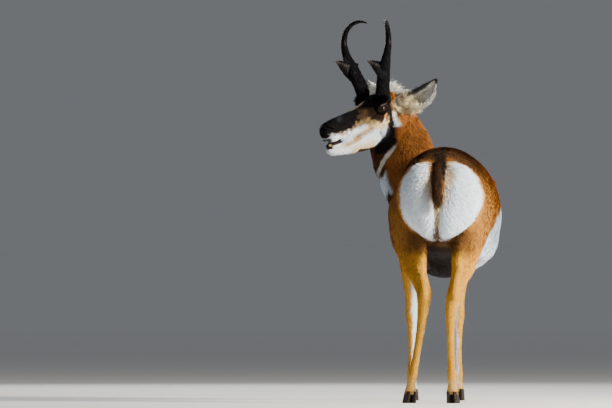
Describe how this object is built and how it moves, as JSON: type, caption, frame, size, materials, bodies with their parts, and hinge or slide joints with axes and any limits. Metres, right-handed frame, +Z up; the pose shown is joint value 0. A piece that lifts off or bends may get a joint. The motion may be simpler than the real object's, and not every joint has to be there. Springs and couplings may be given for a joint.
{
  "type": "pronghorn figure",
  "caption": "Life-size still figure of a pronghorn buck standing square and looking back over its left side, with forked horns and a white rump patch.",
  "frame": {"origin": "on the floor under the middle of the bounding box", "axes": "+Z up, -Y the way the body faces, +X the animal's left side"},
  "size_m": [0.614, 1.1246, 1.2905],
  "materials": {
    "coat_tan": "short, dense tan hair",
    "coat_white": "long, soft white hair",
    "coat_dark": "dark brown hair",
    "horn_black": "dark horn, rough low down and worn smooth at the tips",
    "eye_dark": "wet, near black",
    "hoof_black": "dull black horn"
  },
  "bodies": {
    "root": {"ear_left": "coat_tan", "ear_right": "coat_tan", "eye_left": "eye_dark", "eye_right": "eye_dark", "fore_left_hoof_a": "hoof_black", "fore_left_hoof_b": "hoof_black", "fore_left_lower_leg": "coat_tan", "fore_left_upper_leg": "coat_tan", "fore_right_hoof_a": "hoof_black", "fore_right_hoof_b": "hoof_black", "fore_right_lower_leg": "coat_tan", "fore_right_upper_leg": "coat_tan", "head": "coat_tan", "hind_left_hoof_a": "hoof_black", "hind_left_hoof_b": "hoof_black", "hind_left_lower_leg": "coat_tan", "hind_left_upper_leg": "coat_tan", "hind_right_hoof_a": "hoof_black", "hind_right_hoof_b": "hoof_black", "hind_right_lower_leg": "coat_tan", "hind_right_upper_leg": "coat_tan", "horn_left": "horn_black", "horn_right": "horn_black", "neck": "coat_tan", "rump_left": "coat_white", "rump_right": "coat_white", "tail": "coat_dark", "torso": "coat_tan"}
  },
  "joints": []
}
